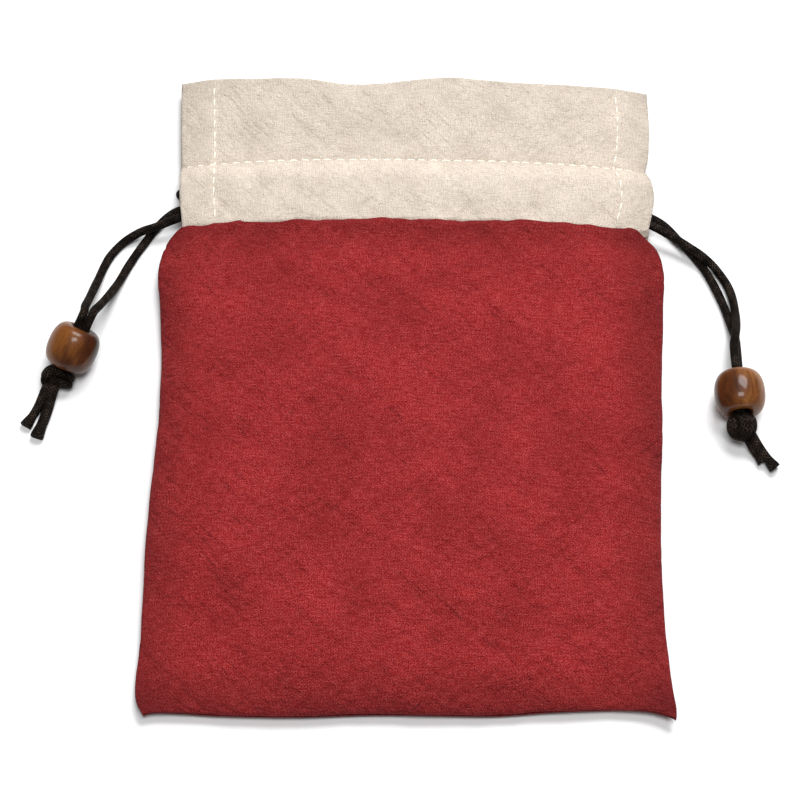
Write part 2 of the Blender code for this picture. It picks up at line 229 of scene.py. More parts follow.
def creases(x, y, size, degrees, stretch, seed):
    """Rounded ridges about 0 to 1 high, at the given angle: a stretched cloud, folded at its zero line."""
    c, s = np.cos(np.radians(degrees)), np.sin(np.radians(degrees))
    n = cloud((x * c + y * s) / stretch, y * c - x * s, size, seed)
    return 1 - 1.8 * np.sqrt(n * n + 0.012)


def smooth_path(points, step):
    """A Catmull-Rom curve through the points, read at even steps."""
    p = np.array(points, float)
    p = np.vstack([2 * p[0] - p[1], p, 2 * p[-1] - p[-2]])
    t = np.linspace(0, 1, 16, endpoint=False)[:, None]
    pieces = []
    for a, b, c, d in zip(p, p[1:], p[2:], p[3:]):
        cubic = 2 * b + (c - a) * t + (2 * a - 5 * b + 4 * c - d) * t**2 + (3 * b - a - 3 * c + d) * t**3
        pieces.append(cubic / 2)
    dense = np.vstack([*pieces, p[-2:-1]])
    along = np.concatenate([[0], np.cumsum(np.linalg.norm(np.diff(dense, axis=0), axis=1))])
    steps = np.linspace(0, along[-1], 1 + round(along[-1] / step))
    return np.column_stack([np.interp(steps, along, dense[:, k]) for k in range(3)])


# Meshes


def make_mesh(name, points, quads, material, uv=None):
    """A piece from points in millimetres and four-cornered faces, both whole arrays."""
    mesh = bpy.data.meshes.new(name)
    quads = np.asarray(quads, np.int32)
    mesh.vertices.add(len(points))
    mesh.vertices.foreach_set("co", (np.asarray(points) * MM).astype(np.float32).ravel())
    mesh.loops.add(quads.size)
    mesh.loops.foreach_set("vertex_index", quads.ravel())
    mesh.polygons.add(len(quads))
    mesh.polygons.foreach_set("loop_start", np.arange(0, quads.size, 4, dtype=np.int32))
    if uv is not None:
        layer = mesh.uv_layers.new(name="UVMap")
        layer.uv.foreach_set("vector", uv[quads.ravel()].astype(np.float32).ravel())
    mesh.update(calc_edges=True)
    mesh.validate()
    mesh.shade_smooth()
    mesh.materials.append(material)
    piece = bpy.data.objects.new(name, mesh)
    bpy.context.scene.collection.objects.link(piece)
    return piece


def grid_quads(rows, columns, closed=False):
    """Faces of a grid whose points run row by row. A closed grid joins its last column to its first."""
    i = np.arange(rows - 1)[:, None] * columns
    j = np.arange(columns if closed else columns - 1)[None, :]
    k = (j + 1) % columns
    return np.stack([i + j, i + k, i + columns + k, i + columns + j], axis=-1).reshape(-1, 4)


def normals_of(grid):
    """Unit normals of a grid of points, from its two directions."""
    normal = np.cross(np.gradient(grid, axis=1), np.gradient(grid, axis=0))
    return normal / np.maximum(np.linalg.norm(normal, axis=2, keepdims=True), 1e-9)


def cloth_piece(name, grid, thickness, material):
    """A sheet of cloth from a grid of points, thickened about it. Its map is in tenths of a metre."""
    rows, columns = grid.shape[:2]
    middle_row, middle_column = grid[rows // 2], grid[:, columns // 2]
    across = np.concatenate([[0], np.cumsum(np.linalg.norm(np.diff(middle_row, axis=0), axis=1))])
    along = np.concatenate([[0], np.cumsum(np.linalg.norm(np.diff(middle_column, axis=0), axis=1))])
    uv = np.stack(np.meshgrid(across, along), axis=-1).reshape(-1, 2) / 100
    piece = make_mesh(name, grid.reshape(-1, 3), grid_quads(rows, columns), material, uv)
    solidify = piece.modifiers.new("thickness", "SOLIDIFY")
    solidify.thickness = thickness * MM
    solidify.offset = 0
    return piece


def frames_along(path):
    """Two directions across a path at each point, carried along it with no needless twist."""
    tangent = np.gradient(path, axis=0)
    tangent /= np.linalg.norm(tangent, axis=1, keepdims=True)
    side = np.empty_like(path)
    side[0] = np.cross(tangent[0], unit(0.1, 0.2, 1))
    for i in range(1, len(path)):
        side[i] = side[i - 1] - tangent[i] * (side[i - 1] @ tangent[i])
        side[i] /= np.linalg.norm(side[i])
    side[0] /= np.linalg.norm(side[0])
    return side, np.cross(tangent, side)


def cord_tube(path, radius, around=24):
    """Points, faces and map of a cord along a path, closed at its ends by rings that shrink to a disc."""
    side, up = frames_along(path)
    along = np.concatenate([[0], np.cumsum(np.linalg.norm(np.diff(path, axis=0), axis=1))])
    radius = np.broadcast_to(radius, len(path)).copy()
    angle = np.linspace(0, 2 * np.pi, around, endpoint=False)
    rings = radius[:, None] + 0.03 * np.cos(2 * angle + along[:, None] / 1.7)
    path = np.vstack([path[:1], path[:1], path, path[-1:], path[-1:]])
    side, up = (np.vstack([a[:1], a[:1], a, a[-1:], a[-1:]]) for a in (side, up))
    shrink = [rings[:1] * 0.05, rings[:1] * 0.8, rings, rings[-1:] * 0.8, rings[-1:] * 0.05]
    rings = np.vstack(shrink)
    along = np.concatenate([along[:1], along[:1], along, along[-1:], along[-1:]])
    ring = side[:, None] * np.cos(angle)[None, :, None] + up[:, None] * np.sin(angle)[None, :, None]
    points = path[:, None] + ring * rings[..., None]
    rows = len(path)
    uv = np.stack(np.broadcast_arrays(angle[None, :] / (2 * np.pi), along[:, None] / 10), axis=-1)
    return points.reshape(-1, 3), grid_quads(rows, around, closed=True)[:, ::-1], uv.reshape(-1, 2)


def join_arrays(parts):
    """Several sets of points, faces and maps as one."""
    points, quads, maps, count = [], [], [], 0
    for p, q, m in parts:
        points.append(p)
        quads.append(q + count)
        maps.append(m)
        count += len(p)
    return np.vstack(points), np.vstack(quads), np.vstack(maps)


# Shader building blocks


def new_group(name, inputs, outputs):
    """A shader node group with float or vector sockets."""
    tree = bpy.data.node_groups.new(name, "ShaderNodeTree")
    for key, value in inputs.items():
        kind = "NodeSocketVector" if value is None else "NodeSocketFloat"
        socket = tree.interface.new_socket(key, in_out="INPUT", socket_type=kind)
        if value is not None:
            socket.default_value = value
    for key in outputs:
        tree.interface.new_socket(key, in_out="OUTPUT", socket_type="NodeSocketFloat")
    return tree, tree.nodes.new("NodeGroupInput"), tree.nodes.new("NodeGroupOutput")


class Nodes:
    """Short ways to add linked nodes to a tree. Each takes sockets or plain values, and returns a socket."""

    def __init__(self, tree):
        self.tree = tree

    def put(self, socket, value):
        if isinstance(value, bpy.types.NodeSocket):
            self.tree.links.new(value, socket)
        elif value is not None:
            socket.default_value = value

    def add(self, kind, inputs=(), out=0, **settings):
        node = self.tree.nodes.new(kind)
        for key, value in settings.items():
            setattr(node, key, value)
        for key, value in dict(inputs).items():
            self.put(node.inputs[key], value)
        return node.outputs[out]

    def math(self, operation, a, b=None, c=None):
        return self.add("ShaderNodeMath", {0: a, 1: b, 2: c}, operation=operation)

    def noise(self, vector, scale, detail=2.0, roughness=0.5, distortion=0.0):
        inputs = {"Vector": vector, "Scale": scale, "Detail": detail, "Roughness": roughness}
        inputs["Distortion"] = distortion
        return self.add("ShaderNodeTexNoise", inputs)

    def mapping(self, vector, location=(0, 0, 0), rotation=(0, 0, 0), scale=(1, 1, 1), kind="POINT"):
        inputs = {"Vector": vector, "Location": location, "Rotation": rotation, "Scale": scale}
        return self.add("ShaderNodeMapping", inputs, vector_type=kind)

    def stretched(self, vector, turn, stretch):
        """Coordinates in which a pattern is drawn out along a direction in the plane."""
        return self.mapping(vector, rotation=(0, 0, turn), scale=(stretch, 1, 1), kind="TEXTURE")

    def parts(self, vector):
        """The three parts of a vector, by the names X, Y and Z."""
        node = self.tree.nodes.new("ShaderNodeSeparateXYZ")
        self.put(node.inputs[0], vector)
        return node.outputs

    def smooth(self, value, start, end):
        inputs = {"Value": value, "From Min": start, "From Max": end}
        return self.add("ShaderNodeMapRange", inputs, interpolation_type="SMOOTHSTEP")

    def ramp(self, value, stops):
        node = self.tree.nodes.new("ShaderNodeValToRGB")
        self.tree.links.new(value, node.inputs["Fac"])
        while len(node.color_ramp.elements) < len(stops):
            node.color_ramp.elements.new(0.5)
        for element, (place, colour) in zip(node.color_ramp.elements, stops):
            element.position = place
            element.color = (*colour, 1)
        return node.outputs["Color"]

    def mix(self, factor, a, b, blend="MIX"):
        inputs = {0: factor, 6: a, 7: b}
        return self.add("ShaderNodeMix", inputs, out=2, data_type="RGBA", blend_type=blend)


def weave_group():
    """Plain weave: threads pass over and under in turn, with thick and thin places and some fuzz."""
    tree, inside, outside = new_group("plain_weave", {"Vector": None, "Pitch": 0.9}, ["Tone", "Upright"])
    n = Nodes(tree)
    vector, pitch = inside.outputs["Vector"], inside.outputs["Pitch"]
    parts = n.parts(vector)
    wander = n.math("MULTIPLY", n.noise(vector, 0.35, 2), 9.0)
    waves = []
    for axis in ("X", "Y"):
        turn = n.math("DIVIDE", n.math("MULTIPLY", parts[axis], 2 * np.pi), pitch)
        waves.append(n.math("SINE", n.math("ADD", turn, wander)))
    crossing = n.math("MULTIPLY", *waves)
    fuzz = n.noise(vector, 3.4, 1, 0.7)
    upright = n.noise(n.stretched(vector, np.pi / 2, 9), 3.6, 1, 0.5)
    level = n.noise(n.stretched(vector, 0, 5), 1.9, 1, 0.5)
    tone = n.math("MULTIPLY_ADD", crossing, 0.06, n.math("MULTIPLY_ADD", fuzz, 1.3, -0.15))
    for threads in (upright, level):
        tone = n.math("ADD", tone, n.math("MULTIPLY_ADD", threads, 0.4, -0.2))
    n.put(outside.inputs["Tone"], tone)
    n.put(outside.inputs["Upright"], upright)
    return tree


def crepe_group():
    """Washed cloth's small creases: short strokes pressed in on the slant both ways and across, in patches."""
    tree, inside, outside = new_group("washed_creases", {"Vector": None, "Size": 1.6}, ["Height", "Crease"])
    n = Nodes(tree)
    vector, size = inside.outputs["Vector"], inside.outputs["Size"]
    height, deep = None, None
    for turn, place, share in ((-0.78, 3, 1.0), (0.66, 40, 0.9), (-0.12, 80, 0.6)):
        slant = n.stretched(n.mapping(vector, location=(place, place, place)), turn, 4.2)
        hills = n.noise(slant, n.math("DIVIDE", 1.0, n.math("MULTIPLY", size, share)), 2, 0.5)
        patch = n.smooth(n.noise(n.mapping(vector, location=(0, 0, place)), 0.09, 2), 0.36, 0.62)
        stroke = n.math("MULTIPLY", n.smooth(hills, 0.47, 0.8), n.math("MULTIPLY_ADD", patch, 0.8, 0.2))
        swell = n.math("MULTIPLY_ADD", hills, -0.6 * share, n.math("MULTIPLY", stroke, -1.3 * share**2))
        height = swell if height is None else n.math("ADD", height, swell)
        deep = stroke if deep is None else n.math("ADD", deep, stroke)
    n.put(outside.inputs["Height"], height)
    n.put(outside.inputs["Crease"], deep)
    return tree


def start_material(name, roughness, specular):
    """A new material, short ways to its nodes, and its shader."""
    material = bpy.data.materials.new(name)
    material.use_nodes = True
    shader = material.node_tree.nodes["Principled BSDF"]
    shader.inputs["Roughness"].default_value = roughness
    shader.inputs["Specular IOR Level"].default_value = specular
    return material, Nodes(material.node_tree), shader


def millimetres(n):
    """Object coordinates, counted in millimetres."""
    place = n.add("ShaderNodeTexCoord", out="Object")
    return n.mapping(place, scale=(1000, 1000, 1000))


def cloth_millimetres(n):
    """The cloth's own map, counted in millimetres."""
    return n.mapping(n.add("ShaderNodeTexCoord", out="UV"), scale=(100, 100, 100))


def use_group(n, tree, inputs):
    """Adds a node group, and returns its outputs."""
    node = n.tree.nodes.new("ShaderNodeGroup")
    node.node_tree = tree
    for key, value in inputs.items():
        n.put(node.inputs[key], value)
    return node.outputs


def bumps(n, shader, layers):
    """Stacks bumps on the shader's normal: each layer is a height, a strength and a depth in millimetres."""
    normal = None
    for height, strength, depth in layers:
        inputs = {"Height": height, "Strength": strength, "Distance": depth * MM}
        if normal is not None:
            inputs["Normal"] = normal
        normal = n.add("ShaderNodeBump", inputs)
    n.put(shader.inputs["Normal"], normal)


def painted_edge_shade(n, parts, sides, ends, wide, darkest):
    """A painted shade mask: 1 on plain cloth, falling to its last argument within `wide` of each edge."""
    depth = 1
    for axis, (low, high) in (("X", sides), ("Y", ends)):
        for inside in (
            n.smooth(parts[axis], low, low + wide),
            n.math("SUBTRACT", 1, n.smooth(parts[axis], high - wide, high)),
        ):
            depth = n.math("MULTIPLY", depth, n.math("MULTIPLY_ADD", inside, 1 - darkest, darkest))
    return depth


def red_cotton(weave, crepe):
    """Washed red cotton: specks of weave over a slow fading, with painted shade in its creases and near its seams,
    and pale specks that are partly weave and partly painted glints.
    """
    material, n, shader = start_material("red_cotton", 0.9, 0.2)
    place = cloth_millimetres(n)
    thread = use_group(n, weave, {"Vector": place, "Pitch": 0.92})
    crease = use_group(n, crepe, {"Vector": place, "Size": 2.1})
    fine = use_group(n, crepe, {"Vector": n.mapping(place, location=(33, 70, 5)), "Size": 1.05})
    faded = n.noise(place, 0.05, 3, 0.6)
    base = n.ramp(faded, [(0.35, (0.222, 0.0086, 0.01)), (0.65, (0.285, 0.0124, 0.0138))])
    # The pale specks, whitish in green and blue, are partly the weave's own tone and partly painted glints on the
    # fibres.
    grain = n.ramp(thread["Tone"], [(0.22, (0.52, 0.02, 0.02)), (0.5, (1, 1, 1)), (0.78, (1.62, 5.6, 5.2))])
    # Painted shade in the creases: the colour darkens towards a shadowed red where they are deep.
    dark = n.math("MULTIPLY_ADD", crease["Crease"], 0.17, n.math("MULTIPLY", fine["Crease"], 0.1))
    with_painted_crease_shade = n.mix(dark, n.mix(1.0, base, grain, "MULTIPLY"), (0.11, 0.004, 0.005, 1))
    # Painted shade near the side seams, the bottom seam and the seam under the band.
    depth = painted_edge_shade(n, n.parts(millimetres(n)), (-66.5, 64), (BOTTOM + 0.5, SEAM + 2), 15, 0.75)
    n.put(shader.inputs["Base Color"], n.mix(1.0, with_painted_crease_shade, depth, "MULTIPLY"))
    bumps(n, shader, [(crease["Height"], 0.55, 0.5), (fine["Height"], 0.45, 0.2), (thread["Tone"], 0.75, 0.25)])
    return material


def natural_linen(weave, crepe):
    """Unbleached linen: upright slubs and specks of weave, with painted shade in its creases and near its sides
    and mouth, and a painted band of light where the channel stands proud.
    """
    material, n, shader = start_material("natural_linen", 0.9, 0.2)
    place = cloth_millimetres(n)
    thread = use_group(n, weave, {"Vector": place, "Pitch": 0.8})
    crease = use_group(n, crepe, {"Vector": place, "Size": 1.9})
    fine = use_group(n, crepe, {"Vector": n.mapping(place, location=(20, 55, 9)), "Size": 0.95})
    mottle = n.noise(place, 0.12, 3, 0.5)
    base = n.ramp(mottle, [(0.33, (0.565, 0.487, 0.41)), (0.67, (0.64, 0.557, 0.472))])
    grain = n.ramp(thread["Tone"], [(0.22, (0.74, 0.72, 0.69)), (0.5, (1, 1, 1)), (0.78, (1.2, 1.22, 1.25))])
    slubs = n.ramp(thread["Upright"], [(0.35, (0.965, 0.96, 0.96)), (0.62, (1.02, 1.02, 1.02))])
    woven = n.mix(1.0, n.mix(1.0, base, grain, "MULTIPLY"), slubs, "MULTIPLY")
    # Painted shade in the creases.
    dark = n.math("MULTIPLY_ADD", crease["Crease"], 0.06, n.math("MULTIPLY", fine["Crease"], 0.04))
    with_painted_crease_shade = n.mix(dark, woven, (0.28, 0.235, 0.19, 1))
    parts = n.parts(millimetres(n))
    # Painted shade near the band's sides and its mouth.
    depth = painted_edge_shade(n, parts, (-65, 64), (SEAM - 12, MOUTH + 4), 12, 0.89)
    # A painted band of light just below the stitch line, on the channel's puff.
    start = n.smooth(parts["Y"], CHANNEL_TOP - 7.5, CHANNEL_TOP - 3)
    end = n.smooth(parts["Y"], CHANNEL_TOP - 1, CHANNEL_TOP + 0.4)
    painted_light_band = n.math("MULTIPLY", start, n.math("SUBTRACT", 1, end))
    depth = n.math("MULTIPLY", depth, n.math("MULTIPLY_ADD", painted_light_band, 0.12, 1))
    n.put(shader.inputs["Base Color"], n.mix(1.0, with_painted_crease_shade, depth, "MULTIPLY"))
    bumps(n, shader, [(crease["Height"], 0.36, 0.5), (fine["Height"], 0.28, 0.2), (thread["Tone"], 0.8, 0.25)])
    return material


def braided_cord():
    """Dark brown braid, with painted glints on the yarn tops, where either of two families of waves that cross
    round the cord is high, and painted shade in the grooves between.
    """
    material, n, shader = start_material("braided_cord", 0.65, 0.05)
    place = millimetres(n)
    parts = n.parts(n.add("ShaderNodeTexCoord", out="UV"))
    around = n.math("MULTIPLY", parts["X"], 2 * np.pi * YARNS)
    along = n.math("MULTIPLY", parts["Y"], 2 * np.pi * 10 / BRAID)
    waves = [n.math("COSINE", n.math(way, around, along)) for way in ("ADD", "SUBTRACT")]
    top = n.math("MULTIPLY_ADD", n.math("MAXIMUM", *waves), 0.5, 0.5)
    fuzz = n.noise(place, 3.0, 2, 0.6)
    patch = n.noise(place, 0.45, 2, 0.5)
    # Painted glints: yarn tops lighter and the grooves between them darker.
    light = n.math("MULTIPLY", n.math("POWER", top, 2.0), n.math("MULTIPLY", fuzz, patch))
    browns = [(0.05, (0.0025, 0.0016, 0.0012)), (0.2, (0.008, 0.0052, 0.004)), (0.36, (0.06, 0.042, 0.031))]
    tone = n.ramp(light, browns)
    n.put(shader.inputs["Base Color"], tone)
    bumps(n, shader, [(top, 0.6, 0.12), (fuzz, 0.5, 0.2)])
    return material


def sewing_thread():
    """Off-white thread, a little darker in places."""
    material, n, shader = start_material("sewing_thread", 0.7, 0.4)
    twist = n.noise(millimetres(n), 4.0, 2)
    n.put(shader.inputs["Base Color"], n.ramp(twist, [(0.3, (0.78, 0.71, 0.6)), (0.7, (0.92, 0.88, 0.78))]))
    return material


def lacquered_wood(name, centre, turned, stops, seed, paler):
    """Stained wood under clear lacquer. The grain runs along the bead's bore, and one side is paler."""
    material, n, shader = start_material(name, 0.42, 0.16)
    place = n.add("ShaderNodeTexCoord", out="Object")
    inputs = {"location": tuple(centre * MM), "rotation": turned, "scale": (MM, MM, MM)}
    local = n.mapping(place, kind="TEXTURE", **inputs)
    moved = n.mapping(local, location=(seed, 2 * seed, 0), scale=(1, 1, 0.22))
    stripes = n.noise(moved, 0.5, 5, 0.6, 0.8)
    stain = n.noise(n.mapping(local, location=(0, seed, 3), scale=(1, 1, 0.6)), 0.11, 2, 0.5)
    pores = n.noise(n.mapping(local, scale=(1, 1, 0.1)), 3.0, 2, 0.5)
    from_middle = n.math("SUBTRACT", n.parts(place)["X"], float(centre[0]) * MM)
    across = n.math("MULTIPLY", from_middle, paler)
    tone = n.math("ADD", n.math("MULTIPLY_ADD", stripes, 0.25, across), n.math("MULTIPLY", stain, 0.75))
    base = n.ramp(tone, stops)
    specks = n.ramp(pores, [(0.36, (0.55, 0.5, 0.45)), (0.46, (1, 1, 1))])
    n.put(shader.inputs["Base Color"], n.mix(0.7, base, specks, "MULTIPLY"))
    n.put(shader.inputs["Roughness"], n.math("ADD", 0.34, n.math("MULTIPLY", pores, 0.15)))
    shader.inputs["Coat Weight"].default_value = 0.3
    shader.inputs["Coat Roughness"].default_value = 0.09
    bumps(n, shader, [(pores, 0.15, 0.1)])
    return material


# Red panels


def panel_plan(columns=236, rows=196):
    """Points spread from side seam to side seam and up from the bottom seam, closer together at the seams.

    Gives each point's share of the way across (-1 to 1), its x and y, and its share of the way down
    from the band.
    """
    even = np.linspace(-1, 1, columns)
    u = 0.55 * even + 0.45 * np.sin(np.pi / 2 * even)
    up = np.linspace(0, 1, rows) ** 1.35 * (SEAM - BOTTOM)
    u, up = np.meshgrid(u, up)
    left = -HALF_WIDTH + through(up, LEFT_INSET)
    right = HALF_WIDTH - through(up, RIGHT_INSET)
    x = (left + right) / 2 + u * (right - left) / 2
    lift = through(x, BOTTOM_WAVE) * (1 - smoothstep(up, 0, 50))
    lift = lift + through(x, SEAM_WAVE) * smoothstep(up, 95, 135.6)
    return u, x, BOTTOM + up + lift, 1 - up / (SEAM - BOTTOM)


def fullness(u, reach):
    """1 over the middle of a panel, falling steeply to 0 at the side and bottom seams."""
    corner = smoothstep(np.abs(u), 0.5, 1) * smoothstep(reach, 0.7, 1)
    return np.sqrt((1 - np.abs(u) ** 2.8) * np.clip(1 - reach**3.6, 0, 1)) * (1 - 0.45 * corner)


def tuck(x, y, u, full):
    """Turns the last of a panel's edge in towards the seam, so that the seam lies in a groove."""
    near = np.clip(1 - full / 0.3, 0, 1) ** 2 * SEAM_TUCK
    side = np.abs(u) ** 30
    return x - np.sign(u) * near * side, y + near * (1 - side)


def seam_line(x, y):
    """Height of the side and bottom seam: it wanders, and lifts at the two bottom corners."""
    corner = np.exp(-(((np.abs(x) - 66) / 9) ** 2 + ((y - BOTTOM) / 9) ** 2))
    return SIDE_SEAM + 0.35 * cloud(x, y, 17, 3) + (0.6 + 0.9 * (x > 0)) * corner


def front_seam_height(x):
    """Height of the seam between the front panel and its band: low at the sides, high at the middle."""
    return 5.8 + 5.0 * (1 - np.abs(x / 62).clip(0, 1) ** 2.8)


def crinkle(x, y, seed):
    """The washed cloth's relief: broad swells, slanting creases both ways and short small ones."""
    swell = 0.42 * cloud(x, y, 26, seed) + 0.25 * cloud(x, y, 12, seed + 1)
    slant = 0.3 * creases(x, y, 7, -42, 3.0, seed + 2) + 0.24 * creases(x, y, 6, 38, 2.6, seed + 3)
    small = 0.15 * creases(x, y, 3.4, -30, 2.6, seed + 4) + 0.13 * creases(x, y, 3.1, 30, 2.4, seed + 5)
    return swell - slant - small


def front_panel_grid():
    """The puffed front: a dome over its seams that rises to the band, with a rounded lip at the band's seam.

    Two dents lie by the side seams, and the washed cloth's relief stands along the surface's own normals.
    """
    u, x, y, reach = panel_plan()
    full = fullness(u, reach)
    to_band = smoothstep(y, TO_BAND, SEAM)
    dome = seam_line(x, y) + 0.35 + DOME * full
    z = dome * (1 - to_band) + front_seam_height(x) * to_band
    z = z + 0.6 * np.exp(-(((SEAM - y - 1.8) / 1.7) ** 2)) - 0.9 * smoothstep(y, SEAM - 1.2, SEAM + 0.2)
    dent_left = np.exp(-(((x + 66) / 16) ** 2 + ((y - 10) / 9) ** 2))
    dent_right = np.exp(-(((x - 66) / 14) ** 2 + ((y + 4) / 12) ** 2))
    z = z - 1.1 * dent_left - 0.8 * dent_right
    x, y = tuck(x, y, u, full)
    grid = np.stack([x, y, z], axis=-1)
    edge = smoothstep(full, 0.05, 0.45) * 0.75 + 0.25
    relief = crinkle(x, y, 40) + 0.2
    seam_pull = np.exp(-(SEAM - y) / 3.5) * 0.3 * cloud(x, y * 0.2, 3.4, 51)
    return grid + normals_of(grid) * (relief * edge + seam_pull)[..., None]


def back_panel_grid():
    """The back, flat on the table, and turned up all round to meet the front at the seams."""
    u, x, y, reach = panel_plan(170, 150)
    full = fullness(u, reach)
    to_band = smoothstep(y, TO_BAND, SEAM)
    rim = (seam_line(x, y) - 0.3) * (1 - to_band) + (front_seam_height(x) - 0.65) * to_band
    flat = np.clip(full / (0.85 - 0.5 * to_band), 0, 1)
    low = 0.34 + 0.25 * np.clip(crinkle(x, y, 80), 0, 1)
    z = rim + (low - rim) * flat
    x, y = tuck(x, y, u, full)
    return np.stack([x, y, z], axis=-1)


# Linen bands


def band_section(channel_steps, header_steps, tucked):
    """The folded section: y and layer (1 outer, -1 inner) of each point, over the fold at the mouth."""
    channel = np.linspace(SEAM - tucked, CHANNEL_TOP, channel_steps)
    header = np.linspace(CHANNEL_TOP, MOUTH - FOLD, header_steps)[1:]
    turn = np.linspace(0, np.pi, 9)[1:-1]
    y = np.concatenate([channel, header, header[-1] + FOLD * np.sin(turn), header[::-1], channel[::-1]])
    one_way = channel_steps + header_steps - 1
    side = np.concatenate([np.ones(one_way), np.cos(turn), -np.ones(one_way)])
    return y, side


def channel_fullness(y):
    """1 along the middle of the cord channel, falling to 0 at the seam and at the stitch line."""
    start = SEAM - 0.9
    across = (2 * y - start - CHANNEL_TOP) / (CHANNEL_TOP - start)
    return np.sqrt(1 - np.clip(np.abs(across), 0, 1) ** np.where(across < 0, 5, 2.4))


def band_edges(y):
    """Where a band's side edges are at a height up the pouch: nipped at the stitch line."""
    up = y - SEAM
    return through(up, BAND_LEFT), through(up, BAND_RIGHT)


def front_band_surface(u, y, side):
    """Points of the front band's middle surface, from across (-1 to 1), up the pouch and the layer.

    The two layers lie together in the header and part round the cords in the channel. Puckers gather at the
    stitch line, creases run on the slant, and the hems are a little thicker.
    """
    left, right = band_edges(y)
    x = (left + right) / 2 + u * (right - left) / 2
    full = channel_fullness(y)
    arch = 1 - np.abs(x / 62).clip(0, 1) ** 3
    outer_wall = 7.3 + 4.1 * arch - 0.5 * (1 - smoothstep(y, SEAM, SEAM + 8))
    inner_wall = 4.1 + 4.3 * smoothstep(-np.abs(x), -44, -27)
    lift = smoothstep(y, CHANNEL_TOP, MOUTH)
    header = 2.9 + 6.3 * arch + (1.4 + 1.5 * arch + 0.7 * cloud(x, y * 0.3, 19, 5)) * lift
    seam = front_seam_height(x) - 0.3 - 0.9 * (1 - smoothstep(y, SEAM - 1.6, SEAM))
    line = np.where(y < CHANNEL_TOP, seam + (header - seam) * smoothstep(y, SEAM, CHANNEL_TOP), header)
    wall = np.where(side > 0, outer_wall, inner_wall)
    z = (line + side * 0.36) * (1 - full) + wall * full
    from_stitch = y - CHANNEL_TOP
    pucker = 0.34 * cloud(x, from_stitch * 0.3, 2.7, 11) * np.exp(-np.abs(from_stitch) / 3.2)
    pucker += 0.5 * cloud(x, from_stitch * 0.35, 5.5, 12) * np.exp(-np.abs(from_stitch) / 6)
    below = (from_stitch < 0) * 1.0
    crease = 0.3 * creases(x, y, 5.5, 52, 2.4, 13) + 0.26 * creases(x, y, 5, -50, 2.2, 14)
    crease = crease * (0.35 + 0.65 * below) + 0.1 * creases(x, y, 2.8, 80, 2.0, 15)
    tight = np.exp(-((from_stitch / 0.9) ** 2))
    seam_pull = np.exp(-(y - SEAM) / 3) * 0.12 * cloud(x, y * 0.2, 3.0, 16)
    past_left = smoothstep(x, LEFT_HEM - 0.5, LEFT_HEM + 0.3)
    past_right = smoothstep(x, RIGHT_HEM - 0.3, RIGHT_HEM + 0.5)
    hem = 0.3 * (1 - past_left + past_right)
    relief = (pucker + crease) * (1 - 0.8 * tight) - 0.25 * tight + seam_pull + hem * side
    swell = 0.35 * cloud(x, y, 15, 17) * (1 - tight)
    z = z + np.where(side > -0.99, relief + swell, 0.35 * swell)
    waved = y + (through(x, MOUTH_WAVE) - 0.65 - 1.1 * arch) * smoothstep(y, CHANNEL_TOP + 4, MOUTH)
    waved = waved + through(x, SEAM_WAVE) * (1 - smoothstep(y, SEAM, SEAM + 9))
    return np.stack(np.broadcast_arrays(x, waved, z), axis=-1)


def back_band_surface(u, y, side):
    """Points of the back band's middle surface. It lies on the table, with its inner layer on top."""
    left, right = band_edges(y)
    x = (left + right) / 2 + u * (right - left) / 2 * 0.99
    full = channel_fullness(y)
    wall = np.where(side > 0, BACK_BAND_TOP - 0.3, 0.24)
    header = 0.62 + 0.5 * np.clip(cloud(x, y * 0.4, 14, 25), 0, 1) * smoothstep(y, CHANNEL_TOP, MOUTH)
    line = np.where(y < CHANNEL_TOP, 0.62, header)
    z = (line + side * 0.34) * (1 - full) + wall * full
    from_stitch = y - CHANNEL_TOP
    pucker = 0.3 * cloud(x, from_stitch * 0.3, 3.2, 26) * np.exp(-np.abs(from_stitch) / 3.5)
    z = np.where(side > 0, z - 0.2 + 0.12 * creases(x, y, 4, 50, 2, 27) + pucker, z)
    waved = y - 0.6 + 0.7 * cloud(x, 0 * x, 22, 28) * smoothstep(y, CHANNEL_TOP + 4, MOUTH)
    return np.stack(np.broadcast_arrays(x, waved, np.maximum(z, 0.24)), axis=-1)


def band_grid(surface, columns, channel_steps, header_steps, tucked):
    """A band's whole folded sheet, as a grid of points."""
    y, side = band_section(channel_steps, header_steps, tucked)
    u, y = np.meshgrid(np.linspace(-1, 1, columns), y)
    return surface(u, y, side[:, None])


